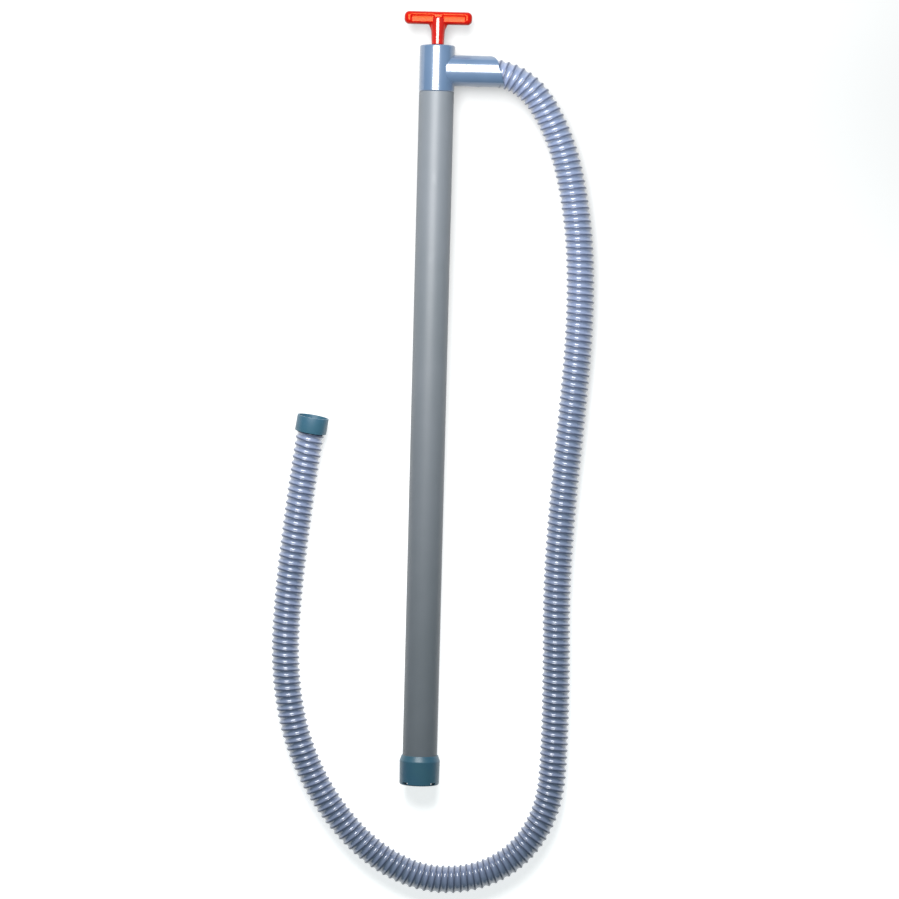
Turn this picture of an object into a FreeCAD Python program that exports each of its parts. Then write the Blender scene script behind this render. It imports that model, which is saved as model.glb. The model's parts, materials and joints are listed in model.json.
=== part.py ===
"""Hand piston pump for liquids: long barrel, T-handle, side spout and a corrugated discharge hose.

The pump lies on its side, as it does on a bench or in a locker. Each round piece is drawn about
its own Y axis, which is the pump's axis: stations along it are counted from the bottom of the
foot, and the handle is at the far end. Its Placement then lays it down, so that +Z is up, the
floor is at Z = 0 and the origin is under the middle of the pump without its hose. Millimetres.
"""
import FreeCAD, Part

import math
import os
import re

import Sketcher
from FreeCAD import Placement, Rotation, Vector

# Driving dimensions. Every one can be changed by itself.
DRIVING = {
    # the whole pump
    "body_length": 915.0,          # bottom of the foot to the top of the head
    # barrel
    "barrel_outer": 43.0,
    "barrel_wall": 2.2,
    "edge_break": 0.6,             # chamfer that shows as a fine line at a joint
    # head: a tee with a spigot that is glued into the barrel
    "head_step": 0.5,              # the head stands proud of the barrel
    "head_height": 57.0,
    "head_wall": 3.4,
    "head_roof": 10.0,
    "head_edge_round": 2.0,
    "spigot_length": 20.0,
    "spigot_wall": 2.5,
    # spout, from the pump's axis outwards
    "spout_drop": 30.5,            # top of the head down to the spout's axis
    "spout_wall": 2.15,
    "spout_reach": 84.0,           # to the longest point of its slanted mouth
    "spout_slant": 16.5,           # degrees off square
    "spout_nose_round": 12.0,      # rounding of the short side of the mouth
    "spout_socket": 36.0,          # how much of the spout, back from its longest point, holds hose
    # gland that guides and seals the rod, inside the head's roof
    "gland_boss_wall": 3.5,
    "gland_boss_drop": 12.0,
    "bush_wall": 3.5,
    "bush_length": 10.0,
    "rod_seal_length": 4.0,
    "seal_lip_rise": 1.3,
    "seal_lip_flare": 1.0,
    "wiper_wall": 1.8,
    "wiper_depth": 5.0,
    "wiper_proud": 1.0,
    # foot cap and foot valve
    "foot_wall": 3.7,
    "foot_taper": 0.6,             # on the radius, from shoulder to bottom
    "foot_height": 36.5,
    "foot_shoulder": 5.5,
    "foot_lip": 1.2,
    "foot_shoulder_round": 2.0,
    "foot_edge_round": 2.2,
    "intake_ledge": 3.5,           # inside the barrel's outer radius, for the valve to seat on
    "intake_depth": 8.0,
    "window_width": 8.0,
    "window_height": 2.8,
    "window_station": 1.2,          # bottom of the windows, above the rim
    "strainer_station": 4.2,
    "strainer_thick": 2.5,
    "strainer_hole": 2.1,
    "strainer_rim": 4.7,           # edge of the strainer to its outer circle of holes
    "gasket_thick": 1.5,
    "foot_seat_thick": 4.0,
    "foot_port": 3.4,
    "foot_port_land": 0.3,         # between the pin's head and the ports
    "foot_disc_overlap": 1.9,
    "foot_disc_thick": 2.5,
    "foot_disc_lift": 4.0,
    "foot_pin_radius": 2.5,
    "foot_pin_head_over": 3.0,     # the head stands out past the shank
    "foot_pin_head_thick": 2.0,
    "foot_clip_wall": 3.5,
    "foot_clip_thick": 1.6,
    # piston
    "piston_station": 31.0,        # end of the piston's stud with the handle pushed home
    "stud_step": 2.0,              # the stud is this much under the rod's radius
    "stud_end": 1.0,               # stud showing past its nut
    "nut_wall": 2.5,               # stud to the nut's flats
    "nut_thick": 4.0,
    "washer_wall": 4.0,
    "washer_thick": 1.6,
    "follower_thick": 4.0,
    "cup_thick": 2.0,
    "cup_lip": 8.0,
    "piston_body_thick": 10.0,
    "piston_hub_wall": 2.5,
    "port_inner_land": 0.5,        # washer to ports
    "port_outer_land": 2.5,        # ports to the piston's edge
    "piston_disc_step": 1.4,       # the valve disc is this much under the piston's radius
    "piston_disc_thick": 2.5,
    "piston_disc_lift": 3.0,
    "guide_thick": 2.4,
    "guide_inner_land": 3.4,
    "guide_outer_land": 2.9,
    # rod and handle
    "rod_radius": 6.0,
    "handle_rise": 41.7,           # top of the head to the top of the bar, handle pushed home
    "handle_width": 83.6,
    "handle_end_round": 6.0,
    "neck_wall": 1.2,
    "neck_flare": 0.4,             # on the radius, from the head to the bar
    "bar_over_neck": 0.2,          # the bar's radius over the neck's
    "neck_fillet": 4.0,
    "rod_socket": 26.0,
    # hose and its end collar
    "hose_outer": 34.7,
    "hose_wall": 3.05,
    "collar_wall": 2.3,
    "collar_length": 19.5,
    "collar_grip": 13.5,           # length of collar that is pushed over the hose
    "collar_mouth_step": 0.4,      # the mouth is wider than the hose
    "collar_edge": 0.5,
    # clearances
    "running_fit": 0.05,
    "valve_gap": 0.1,
    "sliding_fit": 0.3,
    "end_gap": 0.2,
    "floor_gap": 0.1,
}

# Sizes and stations that follow from the driving dimensions.
DERIVED = {
    "barrel_radius": "barrel_outer / 2",
    "barrel_bore": "barrel_radius - barrel_wall",
    "barrel_top": "body_length - head_height",
    "head_radius": "barrel_radius + head_step",
    "head_bore": "head_radius - head_wall",
    "spigot_bore": "barrel_bore - spigot_wall",
    "spigot_bottom": "barrel_top - spigot_length",
    "roof_bottom": "body_length - head_roof",
    "bush_radius": "rod_radius + bush_wall",
    "boss_radius": "bush_radius + gland_boss_wall",
    "boss_bottom": "roof_bottom - gland_boss_drop",
    "wiper_radius": "rod_radius + wiper_wall",
    "wiper_bottom": "body_length - wiper_depth",
    "bush_bottom": "wiper_bottom - bush_length",
    "rod_seal_bottom": "bush_bottom - rod_seal_length",
    "hose_radius": "hose_outer / 2",
    "hose_bore_radius": "hose_radius - hose_wall",
    "spout_radius": "hose_radius + spout_wall",
    "spout_station": "body_length - spout_drop",
    "spout_socket_start": "spout_reach - spout_socket",
    "foot_radius": "barrel_radius + foot_wall",
    "foot_bottom_radius": "foot_radius - foot_taper",
    "intake_radius": "barrel_radius - intake_ledge",
    "strainer_outer_circle": "intake_radius - strainer_rim",
    "strainer_inner_circle": "strainer_outer_circle / 2",
    "foot_shoulder_start": "foot_height - foot_shoulder",
    "foot_lip_radius": "barrel_radius + foot_lip",
    "strainer_top": "strainer_station + strainer_thick",
    "foot_seat_bottom": "intake_depth + gasket_thick",
    "foot_seat_top": "foot_seat_bottom + foot_seat_thick",
    "foot_pin_head": "foot_pin_radius + foot_pin_head_over",
    "foot_clip_radius": "foot_pin_radius + foot_clip_wall",
    "foot_port_circle": "foot_pin_head + foot_port_land + foot_port",
    "foot_disc_radius": "foot_port_circle + foot_port + foot_disc_overlap",
    "foot_disc_bottom": "foot_seat_top + valve_gap",
    "foot_disc_top": "foot_disc_bottom + foot_disc_thick",
    "foot_pin_head_bottom": "foot_disc_top + foot_disc_lift + valve_gap",
    "foot_pin_top": "foot_pin_head_bottom + foot_pin_head_thick",
    "foot_clip_bottom": "foot_seat_bottom - foot_clip_thick",
    "foot_pin_bottom": "foot_clip_bottom - stud_end",
    "stud_radius": "rod_radius - stud_step",
    "washer_radius": "stud_radius + washer_wall",
    "piston_hub_radius": "stud_radius + piston_hub_wall",
    "nut_bottom": "piston_station + stud_end",
    "nut_top": "nut_bottom + nut_thick",
    "washer_top": "nut_top + washer_thick",
    "follower_bottom": "washer_top + valve_gap",
    "follower_top": "follower_bottom + follower_thick",
    "cup_top": "follower_top + cup_thick",
    "piston_top": "cup_top + piston_body_thick",
    "piston_disc_bottom": "piston_top + valve_gap",
    "piston_disc_top": "piston_disc_bottom + piston_disc_thick",
    "guide_bottom": "piston_disc_top + piston_disc_lift + valve_gap",
    "guide_top": "guide_bottom + guide_thick",
    "rod_shoulder": "guide_top + valve_gap",
    "cup_radius": "barrel_bore - sliding_fit",
    "piston_radius": "cup_radius - cup_thick",
    "piston_port": "(piston_radius - washer_radius - port_inner_land - port_outer_land) / 2",
    "piston_port_circle": "washer_radius + port_inner_land + piston_port",
    "piston_disc_radius": "piston_radius - piston_disc_step",
    "guide_radius": "barrel_bore - 2 * sliding_fit",
    "guide_port": "(guide_radius - rod_radius - guide_inner_land - guide_outer_land) / 2",
    "guide_port_circle": "rod_radius + guide_inner_land + guide_port",
    "neck_bottom": "body_length + wiper_proud + end_gap",
    "handle_top": "body_length + handle_rise",
    "neck_bottom_radius": "rod_radius + neck_wall",
    "neck_top_radius": "neck_bottom_radius + neck_flare",
    "bar_radius": "neck_top_radius + bar_over_neck",
    "bar_station": "handle_top - bar_radius",
    "rod_top": "neck_bottom + rod_socket",
    "collar_radius": "hose_radius + collar_wall",
    "collar_mouth_radius": "hose_radius + collar_mouth_step",
    "axis_x": "(handle_width / 2 - spout_reach) / 2",
    "foot_y": "-handle_top / 2",
    "axis_height": "foot_radius",
}

# The hose's route: (x, y, lie), where x and y are measured in the floor's plane from the point
# where the spout's axis crosses the pump's axis. The third value is the height: "spout" is level
# with the spout, "floor" lies on the floor, "collar" is as high as the collar props the hose's end
# up, and a number is a share of the way from the spout's height down to the floor.
HOSE_ROUTE = [
    (48, 0, "spout"),
    (80, 0, "spout"),
    (116, -18, 0.2),
    (141, -53, 0.6),
    (160, -96, 0.9),
    (173, -147, "floor"),
    (183, -216, "floor"),
    (185, -310, "floor"),
    (178, -420, "floor"),
    (169, -530, "floor"),
    (164, -639, "floor"),
    (167, -741, "floor"),
    (167, -839, "floor"),
    (163, -905, "floor"),
    (139, -956, "floor"),
    (103, -988, "floor"),
    (57, -1004, "floor"),
    (5, -1003, "floor"),
    (-46, -980, "floor"),
    (-90, -942, "floor"),
    (-130, -887, "floor"),
    (-159, -818, "floor"),
    (-172, -735, "floor"),
    (-168, -640, "floor"),
    (-157.5, -540, "floor"),
    (-149.5, -476, "floor"),
    (-143.5, -437, "collar"),
]
ARC_SHARE = 0.45                   # of the shorter run beside a corner, taken up by its arc

INTAKE_WINDOWS = 4
FOOT_PORTS = 6
PISTON_PORTS = 8
STRAINER_INNER_HOLES = 6
STRAINER_OUTER_HOLES = 12

NEAR = 1e-4                        # lengths closer than this are the same
BOX_SLACK = 0.5                    # how far an edge's box may reach past the edge

doc = FreeCAD.newDocument("hand_piston_pump")
sheet = doc.addObject("Spreadsheet::Sheet", "Sizes")


def fill_sheet():
    """One row for each size: its name, and its value or formula under that alias."""
    rows = [(name, str(value)) for name, value in DRIVING.items()]
    rows += [(name, "=" + formula) for name, formula in DERIVED.items()]
    for row, (name, text) in enumerate(rows, start=1):
        sheet.set(f"A{row}", name)
        sheet.set(f"B{row}", text)
        sheet.setAlias(f"B{row}", name)
    doc.recompute()


def linked(formula):
    """The formula with each size's name pointing at the sheet."""
    names = DRIVING.keys() | DERIVED.keys()
    return re.sub(r"[a-z_]+", lambda word: "Sizes." + word[0] if word[0] in names else word[0], formula)


def worth(formula):
    """The formula's value now, in millimetres or degrees."""
    return float(sheet.evalExpression(linked(formula)))


def lay_down(piece):
    """Place a piece that is drawn about the pump's axis where the pump lies."""
    piece.setExpression("Placement.Base.x", linked("axis_x"))
    piece.setExpression("Placement.Base.y", linked("foot_y"))
    piece.setExpression("Placement.Base.z", linked("axis_height"))
    return piece


def new_body(label):
    body = doc.addObject("PartDesign::Body", label)
    body.Label = label
    return body


def sketch_on(body, plane, name):
    """An empty sketch on one of the body's own origin planes."""
    sketch = body.newObject("Sketcher::SketchObject", f"{body.Name}_{name}")
    support = next(item for item in body.Origin.OriginFeatures if item.Role == plane)
    sketch.AttachmentSupport = (support, [""])
    sketch.MapMode = "FlatFace"
    return sketch


def hold(sketch, kind, edge, point, formula):
    """Hold one coordinate of a sketch point at a formula's value, or on the axis where it is 0."""
    if formula == "0":
        axis = -2 if kind == "DistanceX" else -1
        sketch.addConstraint(Sketcher.Constraint("PointOnObject", edge, point, axis))
        return
    number = sketch.addConstraint(Sketcher.Constraint(kind, -1, 1, edge, point, worth(formula)))
    sketch.setExpression(f"Constraints[{number}]", linked(formula))


def draw_outline(sketch, corners):
    """A closed outline of straight lines with every corner held by two formulas."""
    spots = [Vector(worth(across), worth(along), 0) for across, along in corners]
    count = len(corners)
    for index in range(count):
        sketch.addGeometry(Part.LineSegment(spots[index], spots[(index + 1) % count]))
    for index in range(count):
        sketch.addConstraint(Sketcher.Constraint("Coincident", index, 2, (index + 1) % count, 1))
    for index, (across, along) in enumerate(corners):
        hold(sketch, "DistanceX", index, 1, across)
        hold(sketch, "DistanceY", index, 1, along)


def draw_circle(sketch, across, along, radius):
    circle = Part.Circle(Vector(worth(across), worth(along), 0), Vector(0, 0, 1), worth(radius))
    edge = sketch.addGeometry(circle)
    number = sketch.addConstraint(Sketcher.Constraint("Radius", edge, worth(radius)))
    sketch.setExpression(f"Constraints[{number}]", linked(radius))
    hold(sketch, "DistanceX", edge, 3, across)
    hold(sketch, "DistanceY", edge, 3, along)


def turn(body, corners, name="outline", kind="Revolution"):
    """Turn an outline of (radius, station) about the pump's axis, adding or, as a Groove, cutting."""
    sketch = sketch_on(body, "XY_Plane", name)
    draw_outline(sketch, corners)
    feature = body.newObject("PartDesign::" + kind, f"{body.Name}_{name}_turned")
    feature.Profile = sketch
    feature.ReferenceAxis = (sketch, ["V_Axis"])
    feature.Angle = 360
    doc.recompute()
    return feature


def turned(label, corners):
    """A piece that is one turned outline."""
    body = new_body(label)
    turn(body, corners)
    return lay_down(body)


def ring(label, inner, outer, bottom, top):
    return turned(label, [(inner, bottom), (outer, bottom), (outer, top), (inner, top)])


def cut_through(body, sketch, length=None):
    """Cut a sketch's shape both ways from its plane: all the way, or a formula's length each way."""
    pocket = body.newObject("PartDesign::Pocket", sketch.Name + "_cut")
    pocket.Profile = sketch
    pocket.SideType = "Symmetric"
    if length is None:
        pocket.Type = "ThroughAll"
    else:
        pocket.Type = "Length"
        pocket.setExpression("Length", "2 * (" + linked(length) + ")")
    doc.recompute()
    return pocket


def repeat_round(body, feature, count):
    """Repeat a cut evenly about the pump's axis."""
    pattern = body.newObject("PartDesign::PolarPattern", feature.Name + "_pattern")
    pattern.Originals = [feature]
    axis = next(item for item in body.Origin.OriginFeatures if item.Role == "Y_Axis")
    pattern.Axis = (axis, [""])
    pattern.Angle = 360
    pattern.Occurrences = count
    body.Tip = pattern
    doc.recompute()


def drill_ports(body, name, count, radius, circle_radius):
    """A circle of round holes through a disc, along the pump's axis."""
    sketch = sketch_on(body, "XZ_Plane", name)
    draw_circle(sketch, circle_radius, "0", radius)
    repeat_round(body, cut_through(body, sketch), count)


def round_edges(body, name, size, chosen):
    """Round those edges of the body that the test picks."""
    doc.recompute()
    base = body.Tip
    edges = base.Shape.Edges
    picked = [f"Edge{number}" for number, edge in enumerate(edges, start=1) if chosen(edge)]
    if not picked:
        raise RuntimeError(f"{body.Label}: no edge to round for {name}")
    fillet = body.newObject("PartDesign::Fillet", f"{body.Name}_{name}")
    fillet.Base = (base, picked)
    fillet.setExpression("Radius", linked(size))
    doc.recompute()
    return fillet


def is_rim(edge, radius, station):
    """Whether an edge is a full circle of this radius about the pump's axis at this station."""
    if not isinstance(edge.Curve, Part.Circle):
        return False
    centre = edge.Curve.Center
    near = math.isclose(edge.Curve.Radius, worth(radius), abs_tol=NEAR)
    return near and math.isclose(centre.y, worth(station), abs_tol=NEAR) and abs(centre.x) < NEAR


# ---- barrel ----------------------------------------------------------------------------------


def make_barrel():
    turned("barrel_tube", [
        ("barrel_bore", "foot_seat_top"),
        ("barrel_radius", "foot_seat_top"),
        ("barrel_radius", "barrel_top - edge_break"),
        ("barrel_radius - edge_break", "barrel_top"),
        ("barrel_bore", "barrel_top"),
    ])


# ---- head, spout and rod gland ---------------------------------------------------------------


def cut_spout_mouth(body):
    """Cut the spout's mouth on the slant, with its short side rounded over."""
    slant = math.radians(worth("spout_slant"))
    reach = worth("spout_reach")
    low = worth("spout_station - spout_radius")
    high = worth("spout_station + spout_radius")
    nose = worth("spout_nose_round")
    short_side = reach - (high - low) * math.tan(slant)
    reach_back = nose * math.tan((math.pi / 2 - slant) / 2)
    centre = Vector(short_side - reach_back, high - nose, 0)
    sweep_end = centre + Vector(math.cos(slant), math.sin(slant), 0) * nose
    top = Vector(centre.x, high, 0)
    lip = Vector(reach, low, 0)
    beyond = Vector(reach + nose, low, 0)
    corner = Vector(reach + nose, high, 0)
    sketch = sketch_on(body, "XY_Plane", "mouth")
    sketch.addGeometry(Part.LineSegment(corner, top))
    sketch.addGeometry(Part.ArcOfCircle(Part.Circle(centre, Vector(0, 0, 1), nose), slant, math.pi / 2))
    sketch.addGeometry(Part.LineSegment(sweep_end, lip))
    sketch.addGeometry(Part.LineSegment(lip, beyond))
    sketch.addGeometry(Part.LineSegment(beyond, corner))
    sketch.addConstraint(Sketcher.Constraint("Tangent", 0, 2, 1, 2))
    sketch.addConstraint(Sketcher.Constraint("Tangent", 1, 1, 2, 1))
    sketch.addConstraint(Sketcher.Constraint("Coincident", 2, 2, 3, 1))
    sketch.addConstraint(Sketcher.Constraint("Coincident", 3, 2, 4, 1))
    sketch.addConstraint(Sketcher.Constraint("Coincident", 4, 2, 0, 1))
    sketch.addConstraint(Sketcher.Constraint("Horizontal", 0))
    sketch.addConstraint(Sketcher.Constraint("Horizontal", 3))
    sketch.addConstraint(Sketcher.Constraint("Vertical", 4))
    number = sketch.addConstraint(Sketcher.Constraint("Radius", 1, nose))
    sketch.setExpression(f"Constraints[{number}]", linked("spout_nose_round"))
    number = sketch.addConstraint(Sketcher.Constraint("Angle", 4, 1, 2, 2, slant))
    sketch.setExpression(f"Constraints[{number}]", linked("spout_slant") + " * 1 deg")
    hold(sketch, "DistanceX", 2, 2, "spout_reach")
    hold(sketch, "DistanceY", 2, 2, "spout_station - spout_radius")
    hold(sketch, "DistanceX", 4, 1, "spout_reach + spout_nose_round")
    hold(sketch, "DistanceY", 0, 1, "spout_station + spout_radius")
    cut_through(body, sketch)


def bore_spout(body, name, radius, start):
    """Bore the spout outwards from a distance off the pump's axis."""
    sketch = sketch_on(body, "YZ_Plane", name)
    sketch.setExpression("AttachmentOffset.Base.z", linked(start))
    draw_circle(sketch, "spout_station", "0", radius)
    pocket = body.newObject("PartDesign::Pocket", f"{body.Name}_{name}_cut")
    pocket.Profile = sketch
    pocket.Type = "ThroughAll"
    pocket.Reversed = True
    doc.recompute()


def make_head():
    """The tee: a closed top, a spigot that is glued into the barrel, and the spout."""
    body = new_body("pump_head")
    turn(body, [
        ("0", "spigot_bottom"),
        ("barrel_bore", "spigot_bottom"),
        ("barrel_bore", "barrel_top"),
        ("head_radius - edge_break", "barrel_top"),
        ("head_radius", "barrel_top + edge_break"),
        ("head_radius", "body_length"),
        ("0", "body_length"),
    ])
    sketch = sketch_on(body, "YZ_Plane", "spout")
    draw_circle(sketch, "spout_station", "0", "spout_radius")
    pad = body.newObject("PartDesign::Pad", "pump_head_spout_pad")
    pad.Profile = sketch
    pad.setExpression("Length", linked("spout_reach"))
    doc.recompute()
    round_edges(body, "top_round", "head_edge_round", lambda edge: is_rim(edge, "head_radius", "body_length"))
    cut_spout_mouth(body)
    turn(body, [
        ("0", "spigot_bottom"),
        ("spigot_bore", "spigot_bottom"),
        ("spigot_bore", "barrel_top"),
        ("head_bore", "barrel_top + head_bore - spigot_bore"),
        ("head_bore", "roof_bottom"),
        ("boss_radius", "roof_bottom"),
        ("boss_radius", "boss_bottom"),
        ("bush_radius", "boss_bottom"),
        ("bush_radius", "wiper_bottom"),
        ("wiper_radius", "wiper_bottom"),
        ("wiper_radius", "body_length"),
        ("0", "body_length"),
    ], name="hollow", kind="Groove")
    bore_spout(body, "waterway", "hose_bore_radius", "(boss_radius + head_bore) / 2")
    bore_spout(body, "socket", "hose_radius", "spout_socket_start")
    lay_down(body)


def make_gland():
    """Guide bush, seal, its retaining ring, and the wiper that shows round the rod."""
    ring("rod_guide_bush", "rod_radius + running_fit", "bush_radius", "bush_bottom", "wiper_bottom")
    turned("rod_seal", [
        ("rod_radius + running_fit", "rod_seal_bottom + seal_lip_rise"),
        ("rod_radius + seal_lip_flare", "rod_seal_bottom"),
        ("bush_radius", "rod_seal_bottom"),
        ("bush_radius", "bush_bottom"),
        ("rod_radius + running_fit", "bush_bottom"),
    ])
    ring("seal_retainer", "rod_radius + sliding_fit", "bush_radius", "boss_bottom", "rod_seal_bottom")
    turned("rod_wiper", [
        ("rod_radius + running_fit", "wiper_bottom"),
        ("wiper_radius", "wiper_bottom"),
        ("wiper_radius", "body_length + wiper_proud / 2"),
        ("wiper_radius - wiper_proud / 2", "body_length + wiper_proud"),
        ("rod_radius + running_fit", "body_length + wiper_proud"),
    ])


# ---- foot ------------------------------------------------------------------------------------


def make_foot_cap():
    """The cap on the barrel's end: socket, ledge for the valve, and an intake with side windows."""
    body = new_body("foot_cap")
    turn(body, [
        ("intake_radius", "0"),
        ("foot_bottom_radius", "0"),
        ("foot_radius", "foot_shoulder_start"),
        ("foot_lip_radius", "foot_height"),
        ("barrel_radius", "foot_height"),
        ("barrel_radius", "intake_depth"),
        ("intake_radius", "intake_depth"),
    ])
    round_edges(body, "shoulder", "foot_shoulder_round",
                lambda edge: is_rim(edge, "foot_radius", "foot_shoulder_start"))
    round_edges(body, "bottom", "foot_edge_round", lambda edge: is_rim(edge, "foot_bottom_radius", "0"))
    sketch = sketch_on(body, "XZ_Plane", "window")
    sketch.AttachmentOffset = Placement(Vector(), Rotation(Vector(0, 0, 1), 180 / INTAKE_WINDOWS))
    sketch.setExpression("AttachmentOffset.Base.z", "-(" + linked("window_station + window_height / 2") + ")")
    draw_outline(sketch, [
        ("intake_radius / 2", "-window_width / 2"),
        ("2 * foot_radius", "-window_width / 2"),
        ("2 * foot_radius", "window_width / 2"),
        ("intake_radius / 2", "window_width / 2"),
    ])
    repeat_round(body, cut_through(body, sketch, "window_height / 2"), INTAKE_WINDOWS)
    lay_down(body)


def make_foot_valve():
    strainer = turned("foot_strainer", [
        ("0", "strainer_station"),
        ("intake_radius", "strainer_station"),
        ("intake_radius", "strainer_top"),
        ("0", "strainer_top"),
    ])
    drill_ports(strainer, "inner_holes", STRAINER_INNER_HOLES, "strainer_hole", "strainer_inner_circle")
    drill_ports(strainer, "outer_holes", STRAINER_OUTER_HOLES, "strainer_hole", "strainer_outer_circle")
    ring("foot_gasket", "intake_radius", "barrel_radius", "intake_depth", "foot_seat_bottom")
    seat = ring("foot_valve_seat", "foot_pin_radius", "barrel_radius", "foot_seat_bottom", "foot_seat_top")
    drill_ports(seat, "ports", FOOT_PORTS, "foot_port", "foot_port_circle")
    ring("foot_valve_disc", "foot_pin_radius + running_fit", "foot_disc_radius",
         "foot_disc_bottom", "foot_disc_top")
    turned("foot_valve_pin", [
        ("0", "foot_pin_bottom"),
        ("foot_pin_radius", "foot_pin_bottom"),
        ("foot_pin_radius", "foot_pin_head_bottom"),
        ("foot_pin_head", "foot_pin_head_bottom"),
        ("foot_pin_head", "foot_pin_top - edge_break"),
        ("foot_pin_head - edge_break", "foot_pin_top"),
        ("0", "foot_pin_top"),
    ])
    ring("foot_valve_clip", "foot_pin_radius", "foot_clip_radius", "foot_clip_bottom", "foot_seat_bottom")


# ---- piston ----------------------------------------------------------------------------------


def make_piston():
    """Everything that slides in the barrel below the rod's shoulder and turns on its stud."""
    bore = "stud_radius + running_fit"
    body = turned("piston_body", [
        (bore, "follower_top"),
        ("piston_hub_radius", "follower_top"),
        ("piston_hub_radius", "cup_top"),
        ("piston_radius", "cup_top"),
        ("piston_radius", "piston_top"),
        ("piston_hub_radius", "piston_top"),
        ("piston_hub_radius", "guide_bottom"),
        (bore, "guide_bottom"),
    ])
    drill_ports(body, "ports", PISTON_PORTS, "piston_port", "piston_port_circle")
    cup = turned("piston_cup", [
        ("piston_hub_radius", "follower_top"),
        ("cup_radius - edge_break", "follower_top"),
        ("cup_radius", "follower_top + edge_break"),
        ("cup_radius", "cup_top + cup_lip"),
        ("piston_radius", "cup_top + cup_lip"),
        ("piston_radius", "cup_top"),
        ("piston_hub_radius", "cup_top"),
    ])
    drill_ports(cup, "ports", PISTON_PORTS, "piston_port", "piston_port_circle")
    follower = ring("piston_follower", bore, "piston_radius", "follower_bottom", "follower_top")
    drill_ports(follower, "ports", PISTON_PORTS, "piston_port", "piston_port_circle")
    ring("piston_valve_disc", "piston_hub_radius + running_fit", "piston_disc_radius",
         "piston_disc_bottom", "piston_disc_top")
    guide = ring("piston_guide", bore, "guide_radius", "guide_bottom", "guide_top")
    drill_ports(guide, "ports", PISTON_PORTS, "guide_port", "guide_port_circle")


def make_rod_fasteners():
    """The washer and the hexagon nut on the rod's stud."""
    ring("piston_washer", "stud_radius", "washer_radius", "nut_top", "washer_top")
    blank = doc.addObject("Part::Prism", "piston_nut_blank")
    blank.Polygon = 6
    blank.setExpression("Circumradius", "(" + linked("stud_radius + nut_wall") + ") / cos(30 deg)")
    blank.setExpression("Height", linked("nut_thick"))
    hole = doc.addObject("Part::Cylinder", "piston_nut_hole")
    hole.setExpression("Radius", linked("stud_radius"))
    hole.setExpression("Height", linked("nut_thick"))
    for piece in (blank, hole):
        piece.Placement = Placement(Vector(), Rotation(Vector(1, 0, 0), -90))
        piece.setExpression("Placement.Base.y", linked("nut_bottom"))
    nut = doc.addObject("Part::Cut", "piston_nut")
    nut.Base = blank
    nut.Tool = hole
    lay_down(nut)


def make_rod():
    turned("piston_rod", [
        ("0", "piston_station"),
        ("stud_radius - edge_break", "piston_station"),
        ("stud_radius", "piston_station + edge_break"),
        ("stud_radius", "rod_shoulder"),
        ("rod_radius", "rod_shoulder"),
        ("rod_radius", "rod_top"),
        ("0", "rod_top"),
    ])


def make_handle():
    """The T-handle: a round bar with rounded ends on a tapered neck that takes the rod."""
    body = new_body("t_handle")
    sketch = sketch_on(body, "YZ_Plane", "bar")
    draw_circle(sketch, "bar_station", "0", "bar_radius")
    bar = body.newObject("PartDesign::Pad", "t_handle_bar_pad")
    bar.Profile = sketch
    bar.SideType = "Symmetric"
    bar.setExpression("Length", linked("handle_width"))
    half = worth("handle_width / 2")

    def is_bar_end(edge):
        return isinstance(edge.Curve, Part.Circle) and abs(abs(edge.Curve.Center.x) - half) < NEAR

    round_edges(body, "bar_ends", "handle_end_round", is_bar_end)
    turn(body, [
        ("0", "neck_bottom"),
        ("neck_bottom_radius", "neck_bottom"),
        ("neck_top_radius", "bar_station"),
        ("0", "bar_station"),
    ], name="neck")
    low = worth("neck_bottom")
    tall = worth("bar_station")
    neck_reach = worth("neck_top_radius") + BOX_SLACK

    def is_throat(edge):
        box = edge.BoundBox
        level = low < box.YMin and box.YMax < tall
        return level and not isinstance(edge.Curve, (Part.Line, Part.Circle)) and box.XMax < neck_reach

    round_edges(body, "throat", "neck_fillet", is_throat)
    turn(body, [
        ("0", "neck_bottom"),
        ("rod_radius", "neck_bottom"),
        ("rod_radius", "rod_top"),
        ("0", "rod_top"),
    ], name="socket", kind="Groove")
    lay_down(body)


# ---- hose ------------------------------------------------------------------------------------


def route_points():
    """The hose's route about the pump's axis, each lie turned into a height.

    The collar is wider than the hose, so its back rim rests on the floor and lifts the last run.
    """
    spout_station = worth("spout_station")
    floor = worth("hose_radius + floor_gap - axis_height")
    last_run = math.dist(HOSE_ROUTE[-2][:2], HOSE_ROUTE[-1][:2])
    prop = worth("collar_radius - hose_radius") * last_run / (last_run - worth("collar_grip"))
    heights = {"spout": 0.0, "floor": floor, "collar": floor + prop}
    points = []
    for x, y, lie in HOSE_ROUTE:
        height = heights[lie] if lie in heights else lie * floor
        points.append(Vector(x, spout_station + y, height))
    return points


def tangent_path(points):
    """Straight runs joined by tangent arcs, each as large as its two runs allow."""
    edges = []
    radii = []
    start = points[0]
    for before, corner, after in zip(points, points[1:], points[2:]):
        run_in = (corner - before).normalize()
        run_out = (after - corner).normalize()
        turn_angle = run_in.getAngle(run_out)
        reach = ARC_SHARE * min((corner - before).Length, (after - corner).Length)
        radius = reach / math.tan(turn_angle / 2)
        arc_start = corner - run_in * reach
        arc_end = corner + run_out * reach
        inward = (run_out - run_in).normalize()
        centre = corner + inward * (radius / math.cos(turn_angle / 2))
        middle = centre - inward * radius
        edges.append(Part.LineSegment(start, arc_start).toShape())
        edges.append(Part.Arc(arc_start, middle, arc_end).toShape())
        radii.append(radius)
        start = arc_end
    edges.append(Part.LineSegment(start, points[-1]).toShape())
    return Part.Wire(edges), radii


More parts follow.
